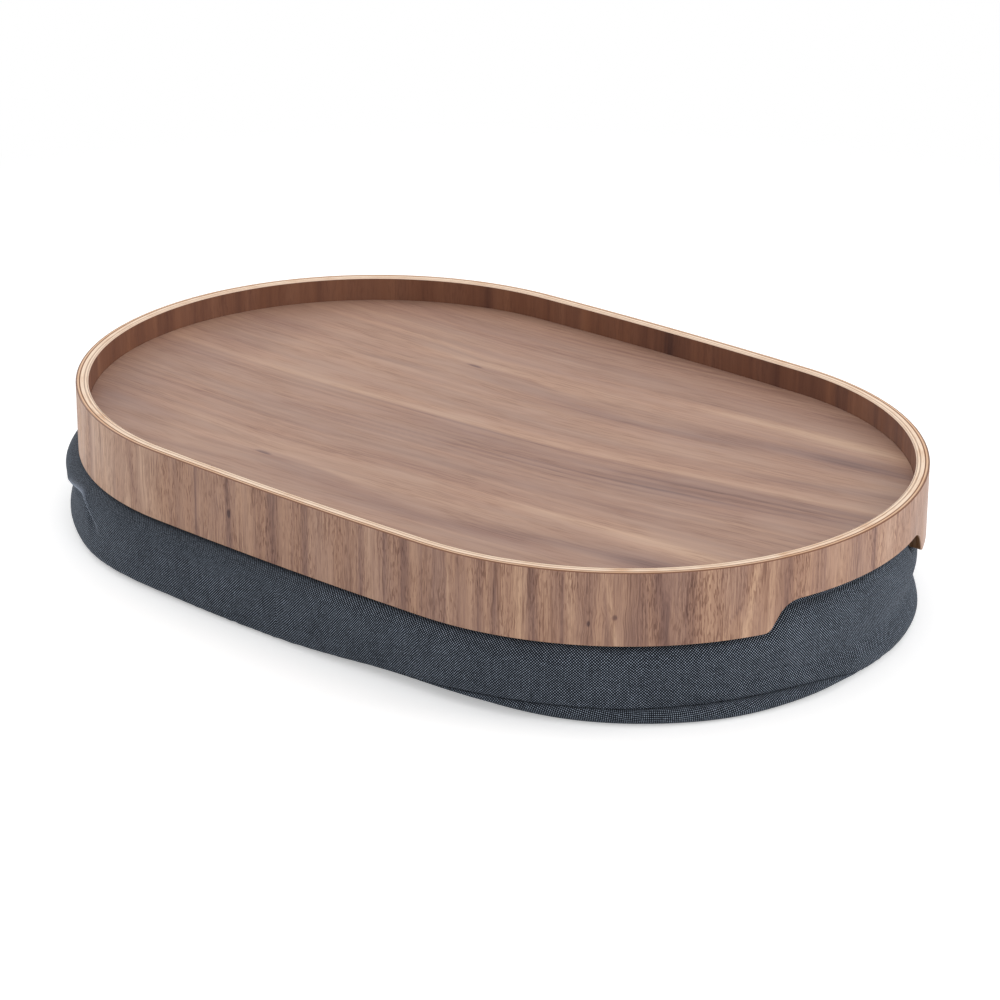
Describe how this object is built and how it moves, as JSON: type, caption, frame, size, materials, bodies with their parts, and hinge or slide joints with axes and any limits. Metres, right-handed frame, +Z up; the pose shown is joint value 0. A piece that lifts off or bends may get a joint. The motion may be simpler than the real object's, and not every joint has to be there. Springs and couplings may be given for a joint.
{
  "type": "lap tray with cushion",
  "caption": "Stadium-shaped bent plywood lap tray with walnut veneer, a raised rim, grip notches at both ends and a bead cushion held under it by hook-and-loop patches.",
  "frame": {"origin": "on the surface that the cushion rests on, under the centre of the tray", "axes": "+X along the tray's length, +Y across it, +Z up"},
  "size_m": [0.5056, 0.3344, 0.08],
  "materials": {
    "walnut_veneer": "matt lacquered walnut veneer",
    "birch_ply": "pale plywood edge, clear lacquer",
    "woven_cover": "coarse woven cloth, dark slate with grey flecks",
    "hook_tape": "nylon hook tape",
    "loop_tape": "brushed nylon loop tape",
    "liner_cloth": "plain thin cotton",
    "foam_beads": "loose expanded foam beads"
  },
  "bodies": {
    "cushion": {"loop_patches": "loop_tape", "cushion_top_panel": "woven_cover", "cushion_side_band": "woven_cover", "cushion_bottom_panel": "woven_cover", "bead_bag": "liner_cloth", "bead_fill": "foam_beads"},
    "tray": {"rim_outer_veneer": "walnut_veneer", "rim_outer_ply": "birch_ply", "rim_core_ply": "birch_ply", "rim_inner_ply": "birch_ply", "rim_inner_veneer": "walnut_veneer", "board_top_veneer": "walnut_veneer", "board_core": "birch_ply", "board_backing_veneer": "walnut_veneer", "hook_patches": "hook_tape"}
  },
  "joints": [
    {"name": "tray_lift", "type": "slide", "parent": "cushion", "child": "tray", "axis": [0, 0, 1], "range_m": [0, 0.12]}
  ]
}
